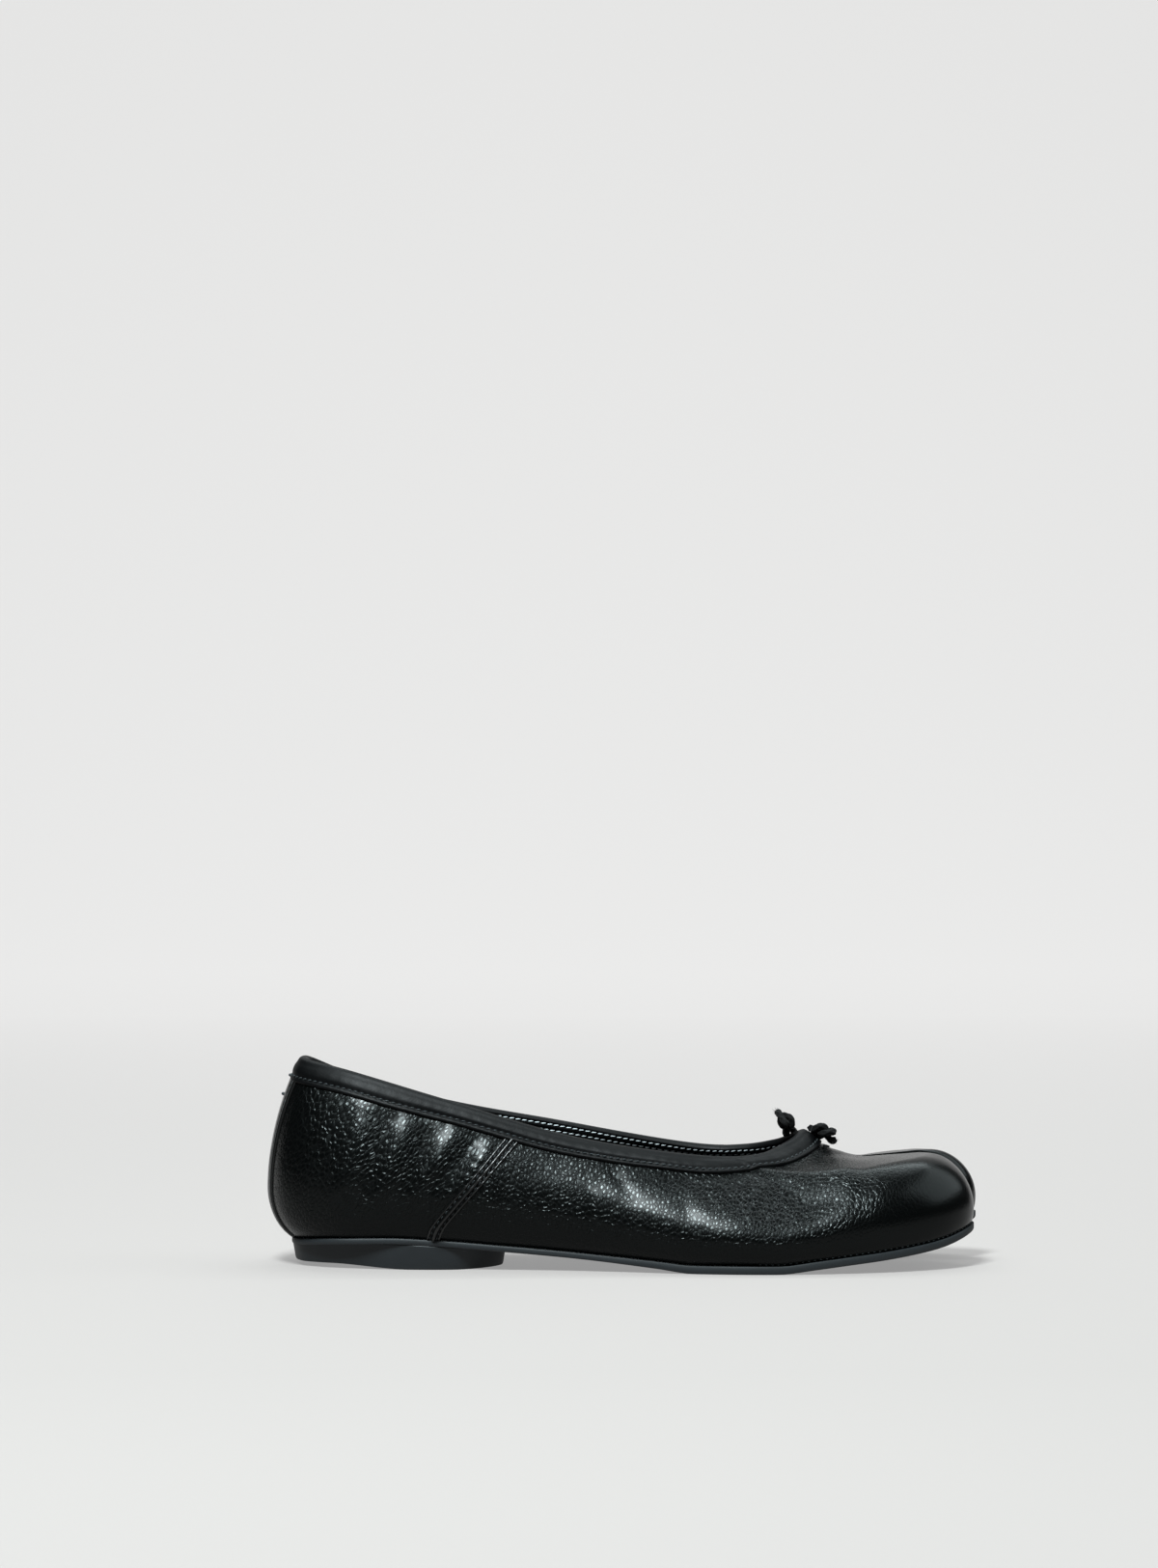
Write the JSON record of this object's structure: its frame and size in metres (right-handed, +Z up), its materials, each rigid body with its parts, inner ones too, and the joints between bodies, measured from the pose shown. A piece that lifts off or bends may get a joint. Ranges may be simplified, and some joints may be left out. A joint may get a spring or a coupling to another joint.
{
  "type": "split-toe ballet flat",
  "caption": "Black grained leather ballet flat with a cleft between big toe and small toes, low heel, folded collar binding and a knotted drawcord.",
  "frame": {"origin": "on the floor, at the middle of the flat part of the heel's tread", "axes": "+X along the shoe to the toes, +Y to the inner side of the foot, +Z up"},
  "size_m": [0.252, 0.0885, 0.0722],
  "materials": {
    "sole_rubber": "matte, fine texture, satin edge",
    "heel_rubber": "matte rubber block",
    "lining_leather": "smooth matte black lining leather",
    "grained_leather": "black wrinkled pebble grain, satin",
    "binding_leather": "smooth dark grey-black binding, satin, stitched",
    "backstay_leather": "black grained strip over the back seam",
    "strip_leather": "black strip with two stitch rows",
    "strip_leather_inner": "black strip with two stitch rows",
    "braided_cord": "matte black braided cord, frayed end"
  },
  "bodies": {
    "root": {"outsole": "sole_rubber", "heel": "heel_rubber", "insole": "lining_leather", "upper": "grained_leather", "collar_binding": "binding_leather", "backstay": "backstay_leather", "seam_strip_lateral": "strip_leather", "seam_strip_medial": "strip_leather_inner", "drawcord_rear": "braided_cord", "drawcord_front": "braided_cord"}
  },
  "joints": []
}
